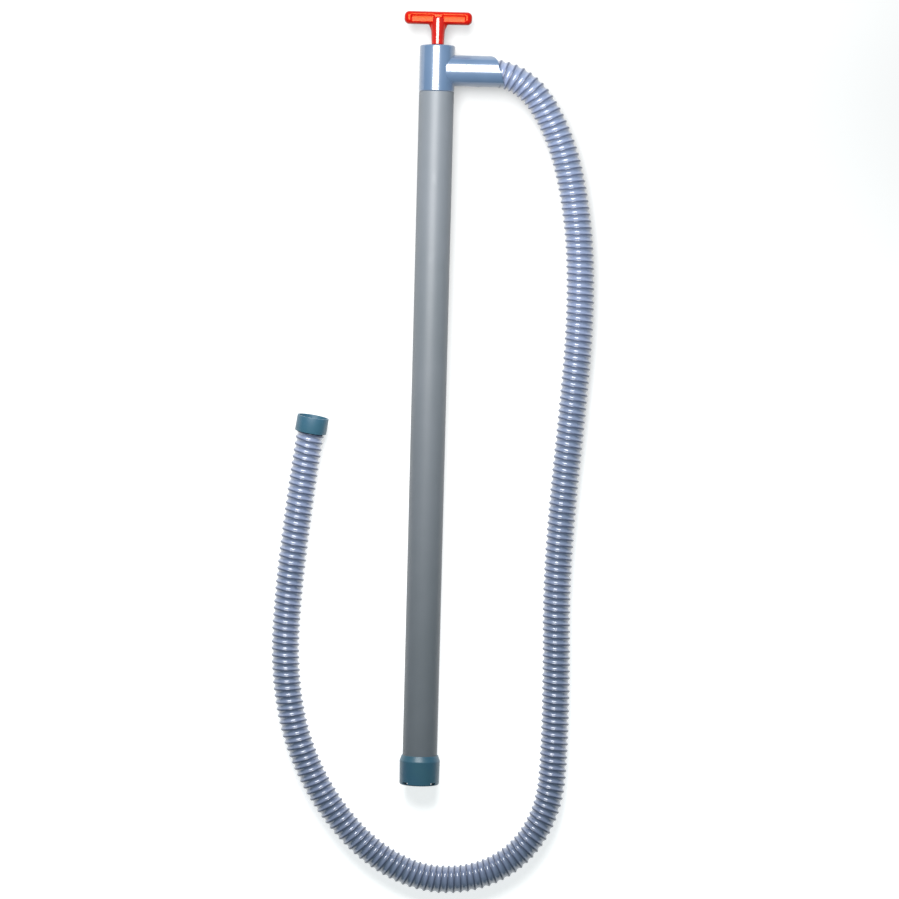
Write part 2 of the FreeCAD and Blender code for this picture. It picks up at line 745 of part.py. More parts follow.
def swept_round(name, route, start, radius):
    """A round bar of this radius along the route."""
    circle = doc.addObject("Part::Circle", name + "_section")
    circle.setExpression("Radius", linked(radius))
    circle.Placement = Placement(start, Rotation(Vector(0, 0, 1), Vector(1, 0, 0)))
    sweep = doc.addObject("Part::Sweep", name)
    sweep.Sections = [circle]
    sweep.Spine = (route, [f"Edge{number + 1}" for number in range(len(route.Shape.Edges))])
    sweep.Solid = True
    sweep.Frenet = False
    return sweep


def make_hose():
    """The discharge hose, plain and hollow, from the spout's socket to inside its collar."""
    points = route_points()
    path, radii = tangent_path(points)
    print("hose bend radii, mm:", [round(radius) for radius in radii])
    route = doc.addObject("Part::Feature", "hose_route")
    route.Shape = path
    outer = swept_round("hose_outside", route, points[0], "hose_radius")
    inner = swept_round("hose_inside", route, points[0], "hose_bore_radius")
    hose = doc.addObject("Part::Cut", "discharge_hose")
    hose.Base = outer
    hose.Tool = inner
    lay_down(hose)
    doc.recompute()
    section = math.pi * (worth("hose_radius") ** 2 - worth("hose_bore_radius") ** 2)
    print(f"hose length {path.Length:.1f} mm, volume over section times length",
          round(hose.Shape.Volume / (section * path.Length), 5))


def make_collar():
    """The collar on the hose's free end, square to its last run."""
    points = route_points()
    heading = (points[-1] - points[-2]).normalize()
    body = new_body("hose_end_collar")
    turn(body, [
        ("hose_radius", "0"),
        ("collar_radius - collar_edge", "0"),
        ("collar_radius", "collar_edge"),
        ("collar_radius", "collar_length - collar_edge"),
        ("collar_radius - collar_edge", "collar_length"),
        ("collar_mouth_radius", "collar_length"),
        ("collar_mouth_radius", "collar_grip"),
        ("hose_radius", "collar_grip"),
    ])
    pump = Vector(worth("axis_x"), worth("foot_y"), worth("axis_height"))
    back = pump + points[-1] - heading * worth("collar_grip")
    body.Placement = Placement(back, Rotation(Vector(0, 1, 0), heading))


# ---- build, check and write ------------------------------------------------------------------

PARTS = [
    "barrel_tube", "pump_head", "rod_guide_bush", "rod_seal", "seal_retainer", "rod_wiper",
    "foot_cap", "foot_strainer", "foot_gasket", "foot_valve_seat", "foot_valve_disc",
    "foot_valve_pin", "foot_valve_clip", "piston_body", "piston_cup", "piston_follower",
    "piston_guide", "piston_valve_disc", "piston_washer", "piston_nut", "piston_rod",
    "t_handle", "discharge_hose", "hose_end_collar",
]


def check_model():
    """Stop if any object failed, or if a part's shape is empty or not valid."""
    for item in doc.Objects:
        if "Invalid" in item.State or "Error" in item.State:
            raise RuntimeError(f"{item.Name} failed: {item.State}")
    for name in PARTS:
        shape = doc.getObject(name).Shape
        if shape.isNull() or not shape.isValid() or len(shape.Solids) != 1:
            raise RuntimeError(f"{name} isn't one valid solid")


def write_parts():
    os.makedirs("parts", exist_ok=True)
    for name in PARTS:
        part = doc.getObject(name)
        part.Label = name
        part.Shape.exportStep(f"parts/{name}.step")
        box = part.Shape.optimalBoundingBox()
        print(f"{name:18s} volume {part.Shape.Volume / 1000:9.2f} cm3  x {box.XMin:8.2f} {box.XMax:8.2f}"
              f"  y {box.YMin:8.2f} {box.YMax:8.2f}  z {box.ZMin:7.2f} {box.ZMax:7.2f}")


fill_sheet()
make_barrel()
make_head()
make_gland()
make_foot_cap()
make_foot_valve()
make_piston()
make_rod_fasteners()
make_rod()
make_handle()
make_hose()
make_collar()
doc.recompute()
check_model()
write_parts()
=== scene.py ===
"""Looks of a hand piston pump that lies on a pale floor with its ribbed hose laid out round it."""

import json
import math

import bpy
import numpy as np
from mathutils import Matrix, Vector


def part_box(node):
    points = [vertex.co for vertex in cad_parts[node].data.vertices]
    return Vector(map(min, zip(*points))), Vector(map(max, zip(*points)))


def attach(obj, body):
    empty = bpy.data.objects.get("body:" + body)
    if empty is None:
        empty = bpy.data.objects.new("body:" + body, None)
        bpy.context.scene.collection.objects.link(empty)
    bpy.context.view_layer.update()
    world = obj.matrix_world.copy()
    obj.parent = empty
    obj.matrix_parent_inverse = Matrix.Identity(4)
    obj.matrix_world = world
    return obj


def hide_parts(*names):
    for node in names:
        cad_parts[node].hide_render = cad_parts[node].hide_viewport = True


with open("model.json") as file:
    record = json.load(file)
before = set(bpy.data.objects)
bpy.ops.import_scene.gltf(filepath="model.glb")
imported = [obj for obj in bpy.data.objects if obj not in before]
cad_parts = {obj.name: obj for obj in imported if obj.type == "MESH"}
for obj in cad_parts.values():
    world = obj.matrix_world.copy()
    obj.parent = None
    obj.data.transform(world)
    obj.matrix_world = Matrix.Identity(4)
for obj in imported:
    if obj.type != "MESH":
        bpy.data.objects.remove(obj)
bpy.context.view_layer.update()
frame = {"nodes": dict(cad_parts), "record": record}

MM = 0.001

# ---- places, all from the frame --------------------------------------------------------------

barrel_low, barrel_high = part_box("barrel_tube")
head_low, head_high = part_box("pump_head")
foot_low, foot_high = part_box("foot_cap")
handle_low, handle_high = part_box("t_handle")
rod_low, rod_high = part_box("piston_rod")
wiper_low, wiper_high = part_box("rod_wiper")

AXIS_X = (barrel_low.x + barrel_high.x) / 2
AXIS_Z = (barrel_low.z + barrel_high.z) / 2
BARREL_RADIUS = (barrel_high.x - barrel_low.x) / 2
BARREL_BORE = BARREL_RADIUS - 2.2 * MM
HEAD_TOP = head_high.y
HEAD_BOTTOM = HEAD_TOP - 57 * MM
HEAD_RADIUS = (head_high.z - head_low.z) / 2
SPOUT_Y = HEAD_TOP - 30.5 * MM
SPOUT_RADIUS = 19.5 * MM
SPOUT_REACH = head_high.x
SPOUT_SLANT = math.radians(16.5)
FOOT_Y = foot_low.y
FOOT_TOP = foot_high.y
FOOT_RADIUS = (foot_high.z - foot_low.z) / 2
ROD_RADIUS = (rod_high.x - rod_low.x) / 2

HOSE_RADIUS = 17.35 * MM
HOSE_BORE = 14.3 * MM
HOSE_PITCH = 8.2 * MM

# The hose's axis lies this high on the floor, and the collar, which is wider, props its end up by the rise.
FLOOR_LIE = HOSE_RADIUS + 0.1 * MM
COLLAR_RISE = 3.496 * MM

# The hose's route, in metres from where the spout's axis crosses the pump's axis, each point with
# its height above the floor as a share of the way down from the spout (0) to the floor (1).
HOSE_ROUTE = [
    (0.048, 0.000, 0.0),
    (0.080, 0.000, 0.0),
    (0.116, -0.018, 0.2),
    (0.141, -0.053, 0.6),
    (0.160, -0.096, 0.9),
    (0.173, -0.147, 1.0),
    (0.183, -0.216, 1.0),
    (0.185, -0.310, 1.0),
    (0.178, -0.420, 1.0),
    (0.169, -0.530, 1.0),
    (0.164, -0.639, 1.0),
    (0.167, -0.741, 1.0),
    (0.167, -0.839, 1.0),
    (0.163, -0.905, 1.0),
    (0.139, -0.956, 1.0),
    (0.103, -0.988, 1.0),
    (0.057, -1.004, 1.0),
    (0.005, -1.003, 1.0),
    (-0.046, -0.980, 1.0),
    (-0.090, -0.942, 1.0),
    (-0.130, -0.887, 1.0),
    (-0.159, -0.818, 1.0),
    (-0.172, -0.735, 1.0),
    (-0.168, -0.640, 1.0),
    (-0.1575, -0.540, 1.0),
    (-0.1495, -0.476, 1.0),
    (-0.1435, -0.437, 1.0),
]


def route_points():
    """The route in the frame, with its last point propped up by the collar."""
    points = []
    for x, y, share in HOSE_ROUTE:
        height = AXIS_Z + (FLOOR_LIE - AXIS_Z) * share
        points.append(Vector((AXIS_X + x, SPOUT_Y + y, height)))
    points[-1].z += COLLAR_RISE
    return points


# ---- shader maths ----------------------------------------------------------------------------

# A Mix node that blends colours takes its share and its two colours at these places among its inputs,
# and gives the result at this place among its outputs.
MIX_SHARE = 0
MIX_FIRST = 6
MIX_SECOND = 7
MIX_RESULT = 2


def opaque(colour):
    """A colour's three numbers with full alpha after them; a socket stays as it is."""
    return (*colour, 1) if isinstance(colour, tuple) else colour


def grey(value):
    """A colour without a hue."""
    return (value, value, value)


class Socket:
    """An output socket that can be used in sums; numbers on either side are fine."""

    def __init__(self, shader, link):
        self.shader = shader
        self.link = link

    def _maths(self, operation, *values):
        return self.shader.node("ShaderNodeMath", {"operation": operation}, values)

    def __add__(self, other):
        return self._maths("ADD", self, other)

    def __sub__(self, other):
        return self._maths("SUBTRACT", self, other)

    def __rsub__(self, other):
        return self._maths("SUBTRACT", other, self)

    def __mul__(self, other):
        return self._maths("MULTIPLY", self, other)

    __radd__ = __add__
    __rmul__ = __mul__

    def smooth(self, low, high):
        """0 below low, 1 above high, and a smooth step between them."""
        settings = {"interpolation_type": "SMOOTHSTEP"}
        values = {"Value": self, "From Min": low, "From Max": high}
        return self.shader.node("ShaderNodeMapRange", settings, values)


class Shader:
    """A material's nodes, ending in one Principled surface."""

    def __init__(self, name, **surface):
        """The values after the name go on the surface's own sockets, with _ for each space."""
        self.material = bpy.data.materials.new(name)
        self.material.use_nodes = True
        self.tree = self.material.node_tree
        self.surface = self.tree.nodes["Principled BSDF"]
        for socket, value in surface.items():
            self.surface.inputs[socket.replace("_", " ")].default_value = value

    def node(self, kind, settings=None, values=(), output=0):
        """Add a node: its settings first, then its sockets by place or by name."""
        made = self.tree.nodes.new(kind)
        for key, value in (settings or {}).items():
            setattr(made, key, value)
        pairs = values.items() if isinstance(values, dict) else enumerate(values)
        for key, value in pairs:
            self._feed(made.inputs[key], value)
        return Socket(self, made.outputs[output])

    def _feed(self, socket, value):
        if isinstance(value, Socket):
            self.tree.links.new(value.link, socket)
        else:
            socket.default_value = value

    def place(self, scale=(1, 1, 1)):
        """Object coordinates in metres, stretched by a scale."""
        spot = self.node("ShaderNodeTexCoord", output="Object")
        return self.node("ShaderNodeMapping", None, {"Vector": spot, "Scale": scale})

    def station(self, axis):
        """How far along "X", "Y" or "Z" a spot lies, in metres."""
        return self.node("ShaderNodeSeparateXYZ", None, [self.place()], output=axis)

    def noise(self, size, detail=3.0, stretch=(1, 1, 1)):
        """Noise whose blotches are about this size in metres."""
        values = {"Vector": self.place(stretch), "Scale": 1 / size, "Detail": detail, "Roughness": 0.55}
        return self.node("ShaderNodeTexNoise", None, values)

    def attribute(self, name):
        """A number that the mesh carries at each point."""
        return self.node("ShaderNodeAttribute", {"attribute_name": name}, output="Fac")

    def mix(self, share, first, second):
        """Blend two colours: all of the first at a share of 0, all of the second at 1."""
        values = {MIX_SHARE: share, MIX_FIRST: opaque(first), MIX_SECOND: opaque(second)}
        return self.node("ShaderNodeMix", {"data_type": "RGBA"}, values, output=MIX_RESULT)

    def set(self, socket, value):
        """Put a value or a link on one of the surface's sockets."""
        self._feed(self.surface.inputs[socket], value)

    def bump(self, height, depth, strength=1.0):
        """Fine relief: the height, 0 to 1, stands this many metres proud."""
        values = {"Height": height, "Distance": depth, "Strength": strength}
        self.set("Normal", self.node("ShaderNodeBump", None, values))


# ---- finishes --------------------------------------------------------------------------------


def moulded_plastic(name, colour, shade, roughness, coat=0.0, gloss=0.06, grain=0.000048, lacquer=1.5):
    """Moulded plastic: faint clouding between two colours, a soft orange peel and uneven gloss.

    The gloss is the coat's roughness, the lacquer is its index, and the grain is the peel's depth.
    """
    shader = Shader(name, Coat_Roughness=gloss, Coat_IOR=lacquer)
    cloud = shader.noise(0.045, 2.0)
    fine = shader.noise(0.0022, 3.0)
    shader.set("Base Color", shader.mix(cloud.smooth(0.35, 0.7), colour, shade))
    scuff = shader.noise(0.012, 6.0).smooth(0.56, 0.74)
    shader.set("Roughness", scuff * 0.10 + fine * 0.05 + roughness)
    shader.set("Coat Weight", coat - scuff * (coat * 0.5))
    shader.bump(fine, grain)
    return shader.material


def handle_plastic():
    """Glossy red plastic: the neck is polished, and the bar has hardly any of its coat."""
    shader = Shader("handle_red", Coat_Roughness=0.09, Coat_IOR=1.8, Specular_Tint=(1, 0.33, 0.09, 1))
    cloud = shader.noise(0.03, 2.0).smooth(0.35, 0.7)
    fine = shader.noise(0.0022, 3.0)
    across = shader.station("X") - AXIS_X
    beside_neck = (across * across).smooth((4.5 * MM) ** 2, (7 * MM) ** 2)
    above_neck = shader.station("Y").smooth(handle_high.y - 9.2 * MM, handle_high.y - 7.6 * MM)
    worn = 0.97
    shader.set("Base Color", shader.mix(cloud, (0.330, 0.0045, 0.0030), (0.295, 0.0040, 0.0026)))
    shader.set("Roughness", fine * 0.05 + 0.20)
    shader.set("Coat Weight", (1 - beside_neck * worn) * (1 - above_neck * worn))
    shader.bump(fine, 0.00005)
    return shader.material


def pipe_plastic():
    """Extruded pipe: satin grey with fine draw lines along it and a few rubbed patches."""
    shader = Shader("barrel_pipe", Specular_IOR_Level=0.4)
    draw = shader.noise(0.0011, 4.0, stretch=(1, 0.015, 1))
    cloud = shader.noise(0.09, 3.0)
    rub = shader.noise(0.02, 6.0, stretch=(1, 0.4, 1)).smooth(0.58, 0.75)
    base = shader.mix(cloud.smooth(0.3, 0.7), (0.132, 0.144, 0.162), (0.118, 0.131, 0.146))
    shader.set("Base Color", shader.mix(draw * 0.35, base, (0.150, 0.161, 0.178)))
    shader.set("Roughness", draw * 0.10 + rub * -0.08 + 0.40)
    shader.bump(draw, 0.00004)
    return shader.material


def hose_plastic():
    """Flexible hose: glossy lavender blue in the valleys; the rib's crests are duller and carry a painted
    shade, a dark colour standing in for the shadow under each rib.
    """
    shader = Shader("hose_ribbed", Coat_Roughness=0.12, Coat_IOR=1.55)
    crest = shader.attribute("rib_height").smooth(0.55, 0.97)
    cloud = shader.noise(0.12, 2.0)
    fine = shader.noise(0.003, 3.0)
    valley = shader.mix(cloud.smooth(0.35, 0.65), (0.182, 0.215, 0.325), (0.160, 0.194, 0.290))
    # Painted shade: the crests take a dark colour in place of the shadow on each rib's steep flank.
    shader.set("Base Color", shader.mix(crest, valley, (0.058, 0.072, 0.125)))
    shader.set("Roughness", fine * 0.10 + crest * 0.15 + 0.26)
    shader.set("Coat Weight", 0.9 - crest * 0.5)
    shader.bump(fine, 0.00006)
    return shader.material


def rubber():
    """Dull black rubber with a fine grain."""
    shader = Shader("black_rubber", Specular_IOR_Level=0.35)
    fine = shader.noise(0.0015, 4.0)
    shader.set("Base Color", shader.mix(fine, (0.010, 0.010, 0.011), (0.028, 0.028, 0.030)))
    shader.set("Roughness", fine * 0.25 + 0.50)
    shader.bump(fine, 0.00008)
    return shader.material


def steel():
    """Turned stainless steel: fine rings round the pump's axis."""
    shader = Shader("stainless_steel", Metallic=1.0)
    fine = shader.noise(0.0005, 3.0, stretch=(0.2, 3, 0.2))
    shader.set("Base Color", shader.mix(fine, (0.52, 0.52, 0.53), (0.66, 0.66, 0.66)))
    shader.set("Roughness", fine * 0.2 + 0.22)
    shader.bump(fine, 0.00002)
    return shader.material


MATERIALS = {
    "head_plastic": moulded_plastic("head_gloss", (0.078, 0.122, 0.200), (0.068, 0.110, 0.184), 0.30,
                                    coat=1.0, gloss=0.07, lacquer=1.62),
    "barrel_plastic": pipe_plastic(),
    "fitting_plastic": moulded_plastic("fitting_teal", (0.028, 0.090, 0.142), (0.032, 0.098, 0.140), 0.40,
                                       coat=0.1, gloss=0.2, grain=0.00012),
    "hose_plastic": hose_plastic(),
    "handle_plastic": handle_plastic(),
    "seal_rubber": rubber(),
    "inner_plastic": moulded_plastic("inner_white", (0.72, 0.72, 0.69), (0.66, 0.66, 0.63), 0.38),
    "rod_plastic": moulded_plastic("rod_grey", (0.58, 0.59, 0.60), (0.53, 0.54, 0.55), 0.28),
    "fastener_steel": steel(),
}


# ---- modelling helpers -----------------------------------------------------------------------


def deselect():
    """Leave nothing selected, so that the next operator acts only on what it makes."""
    bpy.ops.object.select_all(action="DESELECT")


def take(piece):
    """Make a piece the only selected and the active object."""
    deselect()
    piece.select_set(True)
    bpy.context.view_layer.objects.active = piece
    return piece


def settle(piece, name):
    """Name a piece and move its place into its mesh."""
    take(piece)
    piece.name = name
    piece.data.name = name
    bpy.ops.object.transform_apply(location=True, rotation=True, scale=True)
    return piece


def modify(piece, kind, **settings):
    """Add one modifier and apply it."""
    take(piece)
    modifier = piece.modifiers.new(kind.title(), kind)
    for key, value in settings.items():
        setattr(modifier, key, value)
    bpy.ops.object.modifier_apply(modifier=modifier.name)
    return piece


def soften(piece, width, segments=3, angle=32):
    """Round over every edge that is sharper than an angle."""
    return modify(piece, "BEVEL", width=width, segments=segments, limit_method="ANGLE",
                  angle_limit=math.radians(angle), harden_normals=False, use_clamp_overlap=True)


def smooth(piece, angle=35):
    """Shade a piece smooth, except across edges that are sharper than an angle."""
    take(piece)
    bpy.ops.object.shade_smooth_by_angle(angle=math.radians(angle))
    return piece


def dress(piece, body, slot, *nodes):
    """Give a finished piece the material of its slot, hang it on its body, and hide the CAD nodes that it
    stands for.
    """
    piece.data.materials.clear()
    piece.data.materials.append(MATERIALS[slot])
    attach(piece, body)
    if nodes:
        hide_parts(*nodes)
    return piece


def turned(name, profile, along="Y", centre=(0, 0, 0), segments=128):
    """Walk a ring along an axis, ring by ring: the profile gives (radius, station), both in metres.

    A profile that ends where it starts makes a closed wall; any other is capped at both ends.
    """
    axis = "XYZ".index(along)
    step = Vector((0, 0, 0))
    step[axis] = 1
    turn = {"X": (0, math.pi / 2, 0), "Y": (math.pi / 2, 0, 0), "Z": (0, 0, 0)}[along]
    middle = Vector(centre)
    radius, station = profile[0]
    deselect()
    bpy.ops.mesh.primitive_circle_add(vertices=segments, radius=radius, location=middle + step * station,
                                      rotation=turn)
    piece = bpy.context.object
    bpy.ops.object.mode_set(mode="EDIT")
    bpy.ops.mesh.select_all(action="SELECT")
    extrude = bpy.ops.mesh.extrude_edges_move
    if profile[0] != profile[-1]:
        bpy.ops.mesh.edge_face_add()
        extrude = bpy.ops.mesh.extrude_region_move
    for next_radius, next_station in profile[1:]:
        extrude(TRANSFORM_OT_translate={"value": step * (next_station - station)})
        scale = next_radius / radius
        size = [scale, scale, scale]
        size[axis] = 1
        bpy.ops.transform.resize(value=size, center_override=middle + step * next_station)
        radius, station = next_radius, next_station
    bpy.ops.mesh.select_all(action="SELECT")
    bpy.ops.mesh.remove_doubles(threshold=1e-6)
    bpy.ops.mesh.normals_make_consistent(inside=False)
    bpy.ops.object.mode_set(mode="OBJECT")
    return settle(piece, name)


def pump_axis(station=0.0):
    """The spot on the pump's axis at a station along it."""
    return Vector((AXIS_X, station, AXIS_Z))


def arc(radius_centre, station_centre, radius, start, end, steps=6):
    """Points of a round corner in a profile; angles in degrees from straight outwards."""
    points = []
    for index in range(steps + 1):
        angle = math.radians(start + (end - start) * index / steps)
        spot = (radius_centre + radius * math.cos(angle), station_centre + radius * math.sin(angle))
        points.append(spot)
    return points


# ---- camera and light ------------------------------------------------------------------------

# The lens and sensor are in millimetres, the turns in degrees, and every place in metres.
CAMERA_LENS = 145.6
CAMERA_SENSOR = 36
CAMERA_HEIGHT = 4.5
CAMERA_TILT = 2.0
CAMERA_ROLL = 1.455
CAMERA_X = 0.0061
CAMERA_Y = 0.0957

LAMP_PLACE = (AXIS_X - 0.176, SPOUT_Y + 0.504, 1.2)
LAMP_SIZE = (0.864, 1.392)
LAMP_RADIANCE = 15.0
SURROUND_COLOUR = (0.66, 1.0, 1.02)
SURROUND_STRENGTH = 0.19

# The floor is palest up to the first station, past the foot, and darkest from the second, by the head.
FLOOR_SIZE = 12
FLOOR_FADE = (-0.55, 0.45)


def make_camera():
    """High above the upper half of the pump, looking down and slightly towards the foot."""
    data = bpy.data.cameras.new("camera")
    camera = bpy.data.objects.new("camera", data)
    bpy.context.scene.collection.objects.link(camera)
    bpy.context.scene.camera = camera
    data.sensor_width = CAMERA_SENSOR
    data.lens = CAMERA_LENS
    camera.location = (CAMERA_X, CAMERA_Y, AXIS_Z + CAMERA_HEIGHT)
    tilt = Matrix.Rotation(math.radians(-CAMERA_TILT), 3, "X")
    roll = Matrix.Rotation(math.radians(CAMERA_ROLL), 3, "Z")
    camera.rotation_euler = (tilt @ roll).to_euler()


def make_panel(name, spot, size, radiance):
    """A rectangular lamp of a given brightness that faces straight down."""
    data = bpy.data.lights.new(name, "AREA")
    data.shape = "RECTANGLE"
    data.size, data.size_y = size
    data.energy = radiance * math.pi * size[0] * size[1]
    lamp = bpy.data.objects.new(name, data)
    bpy.context.scene.collection.objects.link(lamp)
    lamp.location = spot


def make_stage():
    """A pale floor that glows more towards the foot, a wide lamp beyond the handle, a dim surround."""
    deselect()
    bpy.ops.mesh.primitive_plane_add(size=FLOOR_SIZE, location=(AXIS_X, 0, 0))
    floor = settle(bpy.context.object, "floor")
    shader = Shader("floor_white", Specular_IOR_Level=0.1, Roughness=0.9, Emission_Strength=1.0)
    foot_end = 1 - shader.station("Y").smooth(*FLOOR_FADE)
    shader.set("Base Color", shader.mix(foot_end, grey(0.32), grey(0.66)))
    shader.set("Emission Color", shader.mix(foot_end, grey(0.38), grey(0.72)))
    floor.data.materials.append(shader.material)
    make_panel("key", LAMP_PLACE, LAMP_SIZE, LAMP_RADIANCE)
    world = bpy.data.worlds.new("studio")
    bpy.context.scene.world = world
    world.use_nodes = True
    background = world.node_tree.nodes["Background"]
    background.inputs["Color"].default_value = opaque(SURROUND_COLOUR)
    background.inputs["Strength"].default_value = SURROUND_STRENGTH
    bpy.context.scene.view_settings.view_transform = "Standard"


# ---- hose ------------------------------------------------------------------------------------

# One turn of the rib has RIB_ROWS rows, each row has ROUND points, and the bore has BORE_ROWS rows.
RIB_ROWS = 9
RIB_DEPTH = 2.1 * MM
RIB_SHARPNESS = 1.5
ROUND = 44
BORE_ROWS = 90


def route_line():
    """Points close together on the smooth line that the route steers."""
    points = route_points()
    data = bpy.data.curves.new("hose_route", "CURVE")
    data.dimensions = "3D"
    spline = data.splines.new("NURBS")
    spline.points.add(len(points) - 1)
    for point, place in zip(spline.points, points):
        point.co = (*place, 1)
    spline.order_u = 3
    spline.use_endpoint_u = True
    spline.resolution_u = 24
    curve = bpy.data.objects.new("hose_route", data)
    bpy.context.scene.collection.objects.link(curve)
    mesh = bpy.data.meshes.new_from_object(curve)
    line = np.array([vertex.co[:] for vertex in mesh.vertices])
    bpy.data.objects.remove(curve)
    bpy.data.meshes.remove(mesh)
    return line


def rib_radius(phase):
    """The outer radius at a phase of the rib: narrow crests at whole numbers, wide valleys between."""
    crest = (0.5 + 0.5 * np.cos(2 * math.pi * phase)) ** RIB_SHARPNESS
    return HOSE_RADIUS - RIB_DEPTH * (1 - crest)


def hose_faces(outer, count):
    """The corners of every face: the first rows, as many as outer, follow the rib, the rest the bore.

    On the rib the last column meets the first a whole turn further on; in the bore it meets it straight.
    """
    row = np.arange(count)[:, None]
    after = (row + 1) % count
    column = np.arange(ROUND - 1)[None, :]
    corners = [row * ROUND + column, row * ROUND + column + 1,
               after * ROUND + column + 1, after * ROUND + column]
    faces = np.stack(corners, axis=-1).reshape(-1, 4)
    climb = np.arange(outer - 1 - RIB_ROWS)
    bore = np.arange(outer - 1, count)
    behind = np.concatenate([climb, bore])
    ahead = np.concatenate([climb + RIB_ROWS, bore])
    last = ROUND - 1
    seam = [behind * ROUND + last, ahead * ROUND,
            (ahead + 1) % count * ROUND, (behind + 1) % count * ROUND + last]
    return np.concatenate([faces, np.stack(seam, axis=-1)])


def make_hose():
    """A ribbed wall whose rows follow the left-handed rib, closed at both ends by its bore."""
    line = route_line()
    steps = np.linalg.norm(np.diff(line, axis=0), axis=1)
    reach = np.concatenate([[0], np.cumsum(steps)])
    length = reach[-1]
    tangent = np.gradient(line, reach, axis=0)
    tangent /= np.linalg.norm(tangent, axis=1)[:, None]
    side = np.cross(tangent, (0.0, 0.0, 1.0))
    side /= np.linalg.norm(side, axis=1)[:, None]
    lift = np.cross(side, tangent)
    angle = np.arange(ROUND) * 2 * math.pi / ROUND
    share = np.arange(ROUND) / ROUND

    def lay(stations, radii):
        """Points round the line at the given stations and radii, one for each column."""
        spots = []
        for axis in range(3):
            middle = np.interp(stations, reach, line[:, axis])
            out = np.interp(stations, reach, side[:, axis]) * np.cos(angle)
            out = out + np.interp(stations, reach, lift[:, axis]) * np.sin(angle)
            spots.append(middle + radii * out)
        return np.stack(spots, axis=-1)

    turns = int(length / HOSE_PITCH) + 3
    climbing = [np.zeros(ROUND)]
    for row in range(turns * RIB_ROWS):
        climbing.append(np.clip((row / RIB_ROWS - 1 + share) * HOSE_PITCH, 0, length))
    climbing.append(np.full(ROUND, length))
    rows = []
    heights = []
    for stations in climbing:
        radii = rib_radius(stations / HOSE_PITCH - share)
        rows.append(lay(stations, radii))
        heights.append(1 - (HOSE_RADIUS - radii) / RIB_DEPTH)
    for station in np.linspace(length, 0, BORE_ROWS):
        rows.append(lay(np.full(ROUND, station), np.full(ROUND, HOSE_BORE)))
        heights.append(np.zeros(ROUND))
    faces = hose_faces(len(climbing), len(rows))
    mesh = bpy.data.meshes.new("ribbed_hose")
    mesh.from_pydata(np.concatenate(rows).tolist(), [], faces.tolist())
    store = mesh.attributes.new("rib_height", "FLOAT", "POINT")
    store.data.foreach_set("value", np.concatenate(heights).astype(np.float32))
    hose = bpy.data.objects.new("ribbed_hose", mesh)
    bpy.context.scene.collection.objects.link(hose)
    take(hose)
    bpy.ops.object.mode_set(mode="EDIT")
    bpy.ops.mesh.select_all(action="SELECT")
    bpy.ops.mesh.remove_doubles(threshold=2e-6)
    bpy.ops.mesh.dissolve_degenerate(threshold=1e-6)
    bpy.ops.mesh.normals_make_consistent(inside=False)
    bpy.ops.object.mode_set(mode="OBJECT")
    smooth(hose, 70)
    dress(hose, "barrel", "hose_plastic", "discharge_hose")
    return hose, line


# ---- collar ----------------------------------------------------------------------------------


def make_collar():
    """The collar on the hose's end: a plain sleeve with softened rims and a stop inside."""
    points = route_points()
    heading = (points[-1] - points[-2]).normalized()
    outer = 19.65 * MM
    long = 19.5 * MM
    grip = 13.5 * MM
    mouth = 17.75 * MM
    profile = [(HOSE_RADIUS, 0), (outer, 0), (outer, long), (mouth, long), (mouth, grip),
               (HOSE_RADIUS - 0.2 * MM, grip), (HOSE_RADIUS, 0)]
    collar = turned("end_collar", profile, segments=96)
    turn = Vector((0, 1, 0)).rotation_difference(heading).to_matrix().to_4x4()
    collar.matrix_world = Matrix.Translation(points[-1] - heading * grip) @ turn
    settle(collar, "end_collar")
    soften(collar, 0.45 * MM, 3)
    smooth(collar)
    return dress(collar, "barrel", "fitting_plastic", "hose_end_collar")


# ---- barrel, head and foot -------------------------------------------------------------------


def make_barrel():
    """A plain pipe with softened rims."""
    low = barrel_low.y
    high = barrel_high.y
    ring = [(BARREL_RADIUS, low), (BARREL_RADIUS, high), (BARREL_BORE, high), (BARREL_BORE, low),
            (BARREL_RADIUS, low)]
    barrel = turned("barrel_pipe", ring, centre=pump_axis())
    soften(barrel, 0.5 * MM, 3)
    smooth(barrel)
    return dress(barrel, "barrel", "barrel_plastic", "barrel_tube")


def join_solids(piece, other, operation):
    """Combine two closed pieces and drop the second."""
    modify(piece, "BOOLEAN", object=other, operation=operation, solver="EXACT")
    bpy.data.objects.remove(other)
    return piece


def spout_keeper():
    """A block whose end is the slanted mouth, rounded over on its short side."""
    size = 120 * MM
    overhang = 0.02 * MM
    tall = 2 * SPOUT_RADIUS + 2 * overhang
    rounding = 9 * MM
    deselect()
    bpy.ops.mesh.primitive_cube_add(size=1)
    keeper = bpy.context.object
    keeper.scale = (size, tall, size)
    keeper.location = (SPOUT_REACH - size / 2, SPOUT_Y, AXIS_Z)
    settle(keeper, "spout_keeper")
    mesh = keeper.data
    bpy.ops.object.mode_set(mode="EDIT")
    bpy.ops.mesh.select_mode(type="VERT")
    bpy.ops.mesh.select_all(action="DESELECT")
    bpy.ops.object.mode_set(mode="OBJECT")
    for vertex in mesh.vertices:
        vertex.select = vertex.co.y > SPOUT_Y and vertex.co.x > SPOUT_REACH - size / 2
    bpy.ops.object.mode_set(mode="EDIT")
    bpy.ops.transform.translate(value=(-tall * math.tan(SPOUT_SLANT), 0, 0))
    bpy.ops.mesh.bevel(offset=rounding, segments=10, profile=0.5)
    bpy.ops.object.mode_set(mode="OBJECT")
    return keeper


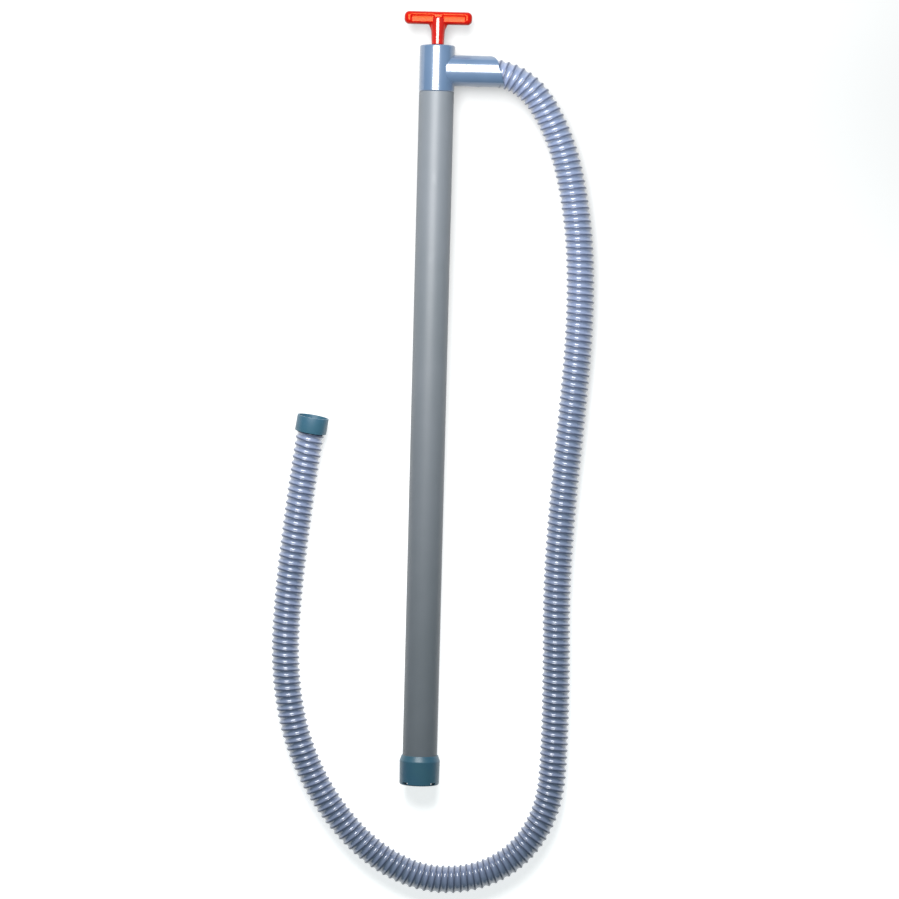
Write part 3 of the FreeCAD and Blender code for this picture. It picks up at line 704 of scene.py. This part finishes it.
def make_spout():
    """A round spout with the hose's socket in it; its many rings keep its long faces evenly shaded."""
    ring_gap = 3 * MM
    start = AXIS_X + 9 * MM
    end = SPOUT_REACH + 4 * MM
    socket = HOSE_RADIUS + 0.02 * MM
    socket_bottom = SPOUT_REACH - 36 * MM
    rings = int((end - start) / ring_gap)
    profile = [(SPOUT_RADIUS, start + ring_gap * ring) for ring in range(rings)]
    profile += [(SPOUT_RADIUS, end), (socket, end), (socket, socket_bottom),
                (SPOUT_RADIUS * 0.5, socket_bottom)]
    spout = turned("spout", profile, along="X", centre=(0, SPOUT_Y, AXIS_Z), segments=128)
    join_solids(spout, spout_keeper(), "INTERSECT")
    return soften(spout, 0.5 * MM, 3, angle=40)


def make_head():
    """The tee: a capped cylinder with the wiper's recess, and the spout on its side."""
    edge = 2.0 * MM
    recess = 7.8 * MM
    recess_bottom = HEAD_TOP - 5 * MM
    profile = [(BARREL_BORE - 2 * MM, head_low.y), (BARREL_BORE, head_low.y), (BARREL_BORE, HEAD_BOTTOM),
               (HEAD_RADIUS - 1.1 * MM, HEAD_BOTTOM), (HEAD_RADIUS, HEAD_BOTTOM + 1.0 * MM),
               (HEAD_RADIUS, HEAD_BOTTOM + 1.6 * MM), (HEAD_RADIUS, HEAD_TOP - edge - 0.6 * MM)]
    profile += arc(HEAD_RADIUS - edge, HEAD_TOP - edge, edge, 0, 90)
    profile += [(recess + 0.4 * MM, HEAD_TOP), (recess, HEAD_TOP - 0.4 * MM), (recess, recess_bottom)]
    head = turned("pump_tee", profile, centre=pump_axis(), segments=144)
    join_solids(head, make_spout(), "UNION")
    smooth(head, 30)
    return dress(head, "barrel", "head_plastic", "pump_head")


def make_foot():
    """The foot cap: tapered sleeve, sloping shoulder, rounded bottom edge and four side windows."""
    bottom = FOOT_RADIUS - 0.6 * MM
    intake = BARREL_RADIUS - 3.5 * MM
    ledge = FOOT_Y + 8 * MM
    edge = 2.2 * MM
    shoulder = FOOT_TOP - 6.8 * MM
    profile = [(intake, FOOT_Y)]
    profile += arc(bottom - edge, FOOT_Y + edge, edge, -90, 0)
    profile += [(FOOT_RADIUS - 0.1 * MM, shoulder - 1.2 * MM), (FOOT_RADIUS, shoulder - 0.5 * MM),
                (FOOT_RADIUS - 0.1 * MM, shoulder + 0.2 * MM),
                (FOOT_RADIUS - 0.45 * MM, shoulder + 1.0 * MM),
                (BARREL_RADIUS + 1.3 * MM, FOOT_TOP - 0.2 * MM), (BARREL_RADIUS + 1.0 * MM, FOOT_TOP),
                (BARREL_RADIUS, FOOT_TOP), (BARREL_RADIUS, ledge), (intake, ledge), (intake, FOOT_Y)]
    foot = turned("foot_sleeve", profile, centre=pump_axis(), segments=144)
    window_y = FOOT_Y + 2.6 * MM
    window_height = 2.8 * MM
    window_width = 8 * MM
    right_through = 80 * MM
    for turn in (45, 135):
        deselect()
        bpy.ops.mesh.primitive_cube_add(size=1, location=pump_axis(window_y))
        cutter = bpy.context.object
        cutter.scale = (right_through, window_height, window_width)
        cutter.rotation_euler = (0, math.radians(turn), 0)
        settle(cutter, "window_cutter")
        soften(cutter, 0.8 * MM, 3)
        join_solids(foot, cutter, "DIFFERENCE")
    smooth(foot, 30)
    return dress(foot, "barrel", "fitting_plastic", "foot_cap")


# ---- handle, rod and wiper -------------------------------------------------------------------

BAR_HEIGHT = 16 * MM
BAR_DEPTH = 14.6 * MM
BAR_ROUNDING = 6.2 * MM


def make_scoop(side, face):
    """The shallow hollow in one half of the bar (side -1 or 1), on its front or back (face -1 or 1)."""
    radius = 12.8 * MM
    depth = 1.7 * MM
    inset = 4 * MM
    near = 3.5 * MM
    far = 35 * MM
    start = AXIS_X + near if side > 0 else AXIS_X - far
    end = start + far - near
    profile = [(radius - inset + r, station) for r, station in arc(0, start + inset, inset, -80, -20)]
    profile += [(radius - inset + r, station) for r, station in arc(0, end - inset, inset, 20, 80)]
    centre = (0, handle_high.y - 8.3 * MM, AXIS_Z + face * (BAR_DEPTH / 2 + radius - depth))
    return turned("scoop", profile, along="X", centre=centre, segments=96)


def make_handle():
    """The T-handle: a bar scooped out on both faces, on a flared neck that runs up its middle."""
    bar_y = handle_high.y - BAR_HEIGHT / 2
    underside = handle_high.y - BAR_HEIGHT
    low = handle_low.y
    deselect()
    bpy.ops.mesh.primitive_cube_add(size=1, location=(AXIS_X, bar_y, AXIS_Z))
    bar = bpy.context.object
    bar.scale = (handle_high.x - handle_low.x, BAR_HEIGHT, BAR_DEPTH)
    settle(bar, "handle")
    modify(bar, "BEVEL", width=BAR_ROUNDING, segments=10, limit_method="NONE")
    for side in (-1, 1):
        for face in (-1, 1):
            join_solids(bar, make_scoop(side, face), "DIFFERENCE")
    neck = turned("neck", [(7.6 * MM, low), (8.2 * MM, low + 12 * MM), (8.9 * MM, underside - 4 * MM),
                           (9.2 * MM, underside), (9.0 * MM, bar_y - 2 * MM), (8.2 * MM, bar_y + 0.5 * MM),
                           (6.4 * MM, bar_y + 2.4 * MM), (3.0 * MM, bar_y + 3.6 * MM)],
                  centre=pump_axis(), segments=96)
    join_solids(bar, neck, "UNION")
    web = turned("web", [(7.0 * MM, underside - 13 * MM), (9.4 * MM, underside - 5 * MM),
                         (11.0 * MM, underside - 1.4 * MM), (13.2 * MM, underside + 1.2 * MM)],
                 centre=pump_axis(), segments=64)
    take(web)
    flattened = (1, 1, 0.45)
    bpy.ops.object.mode_set(mode="EDIT")
    bpy.ops.mesh.select_all(action="SELECT")
    bpy.ops.transform.resize(value=flattened, center_override=pump_axis(underside))
    bpy.ops.object.mode_set(mode="OBJECT")
    join_solids(bar, web, "UNION")
    modify(bar, "REMESH", mode="VOXEL", voxel_size=0.42 * MM, use_smooth_shade=True)
    modify(bar, "SMOOTH", factor=0.5, iterations=10)
    smooth(bar, 180)
    return dress(bar, "rod", "handle_plastic", "t_handle")


def make_rod():
    """The rod, with the thinner stud at its lower end that the piston sits on."""
    stud = 4 * MM
    shoulder = rod_low.y + 30.9 * MM
    rod = turned("pump_rod", [(stud - 0.6 * MM, rod_low.y), (stud, rod_low.y + 0.6 * MM), (stud, shoulder),
                              (ROD_RADIUS, shoulder), (ROD_RADIUS, rod_high.y)],
                 centre=pump_axis(), segments=64)
    soften(rod, 0.3 * MM, 2)
    smooth(rod)
    return dress(rod, "rod", "rod_plastic", "piston_rod")


def make_wiper():
    """The rubber ring that wipes the rod, with the rims of its top face cut back."""
    radius = (wiper_high.x - wiper_low.x) / 2
    bore = ROD_RADIUS + 0.05 * MM
    low = wiper_low.y
    high = wiper_high.y
    ring = [(bore, low), (radius, low), (radius, high - 0.5 * MM), (radius - 0.5 * MM, high),
            (bore + 0.6 * MM, high), (bore, high - 1.0 * MM), (bore, low)]
    wiper = turned("wiper_ring", ring, centre=pump_axis(), segments=96)
    smooth(wiper)
    return dress(wiper, "barrel", "seal_rubber", "rod_wiper")


# ---- the whole -------------------------------------------------------------------------------

SLOT_OF = {row["node"]: row["material_slot"] for row in frame["record"]["subparts"]}


def dress_nodes():
    """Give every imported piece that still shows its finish."""
    for name, node in frame["nodes"].items():
        node.data.materials.clear()
        node.data.materials.append(MATERIALS[SLOT_OF[name]])


deselect()
make_camera()
dress_nodes()
hose, line = make_hose()
collar = make_collar()
make_barrel()
make_head()
make_foot()
make_handle()
make_rod()
make_wiper()
make_stage()
